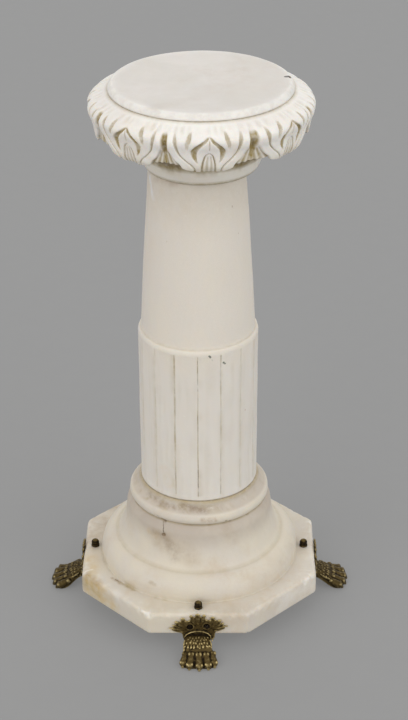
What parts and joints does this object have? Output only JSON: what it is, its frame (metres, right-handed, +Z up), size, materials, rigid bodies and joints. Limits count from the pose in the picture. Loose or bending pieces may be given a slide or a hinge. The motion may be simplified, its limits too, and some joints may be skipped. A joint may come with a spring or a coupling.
{
  "type": "pedestal column",
  "caption": "Carved alabaster doric pedestal column with a leaf-ringed capital, panelled drum and octagonal plinth on cast brass lion-paw feet.",
  "frame": {"origin": "on the floor under the middle of the octagonal plinth", "axes": "+Z up the column, -Y out of the face with the front foot, +X to the right of it"},
  "size_m": [0.4176, 0.4176, 0.7421],
  "materials": {
    "top_disc": "dull polished alabaster with clouded warm veins and dirt in the carving",
    "capital": "dull polished alabaster with clouded warm veins and dirt in the carving",
    "shaft": "dull polished alabaster with clouded warm veins and dirt in the carving",
    "base": "dull polished alabaster with clouded warm veins and dirt in the carving",
    "foot_front": "cast brass darkened with age, rubbed bright on the high spots",
    "foot_right": "cast brass darkened with age, rubbed bright on the high spots",
    "foot_back": "cast brass darkened with age, rubbed bright on the high spots",
    "foot_left": "cast brass darkened with age, rubbed bright on the high spots",
    "nut_front": "turned brass darkened with age",
    "nut_right": "turned brass darkened with age",
    "nut_back": "turned brass darkened with age",
    "nut_left": "turned brass darkened with age",
    "screw_front_left": "turned brass darkened with age",
    "screw_right_left": "turned brass darkened with age",
    "screw_right_right": "turned brass darkened with age",
    "screw_back_left": "turned brass darkened with age",
    "screw_back_right": "turned brass darkened with age",
    "screw_left_left": "turned brass darkened with age",
    "screw_left_right": "turned brass darkened with age"
  },
  "bodies": {
    "root": {"top_disc": "top_disc", "capital": "capital", "shaft": "shaft", "base": "base", "foot_front": "foot_front", "foot_right": "foot_right", "foot_back": "foot_back", "foot_left": "foot_left", "nut_front": "nut_front", "nut_right": "nut_right", "nut_back": "nut_back", "nut_left": "nut_left", "screw_front_left": "screw_front_left", "screw_right_left": "screw_right_left", "screw_right_right": "screw_right_right", "screw_back_left": "screw_back_left", "screw_back_right": "screw_back_right", "screw_left_left": "screw_left_left", "screw_left_right": "screw_left_right"}
  },
  "joints": []
}
